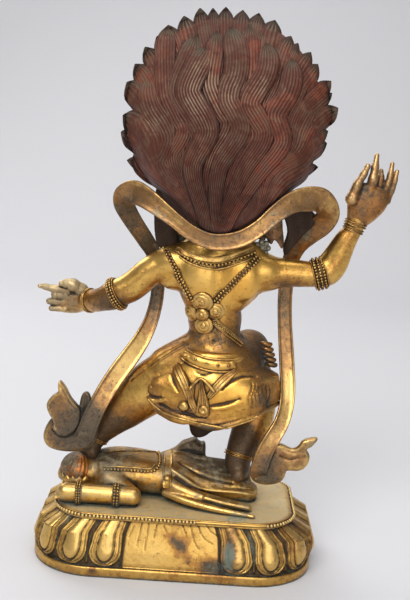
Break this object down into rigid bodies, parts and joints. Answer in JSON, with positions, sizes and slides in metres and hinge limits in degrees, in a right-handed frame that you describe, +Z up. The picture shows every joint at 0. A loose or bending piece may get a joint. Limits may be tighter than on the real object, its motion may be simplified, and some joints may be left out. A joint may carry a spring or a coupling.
{
  "type": "statue",
  "caption": "Gilt bronze striding figure with a red fan of hair, over a prone figure on a low oval lotus plinth.",
  "frame": {"origin": "centre of the plinth's flat underside", "axes": "+Z up from the underside to the hair's tip; the figure faces +Y, its own right hand is on the +X side"},
  "size_m": [0.1577, 0.071, 0.2474],
  "materials": {
    "gilt_bronze": "fire-gilt bronze, rubbed bright on the high parts, brown and green-grey in the hollows",
    "red_hair_paint": "matt red-brown pigment on bronze, thin on the ridges and dark in the grooves"
  },
  "bodies": {
    "root": {"lotus_plinth": "gilt_bronze", "trampled_figure": "gilt_bronze", "standing_deity": "gilt_bronze", "flame_hair": "red_hair_paint", "scarf": "gilt_bronze"}
  },
  "joints": []
}
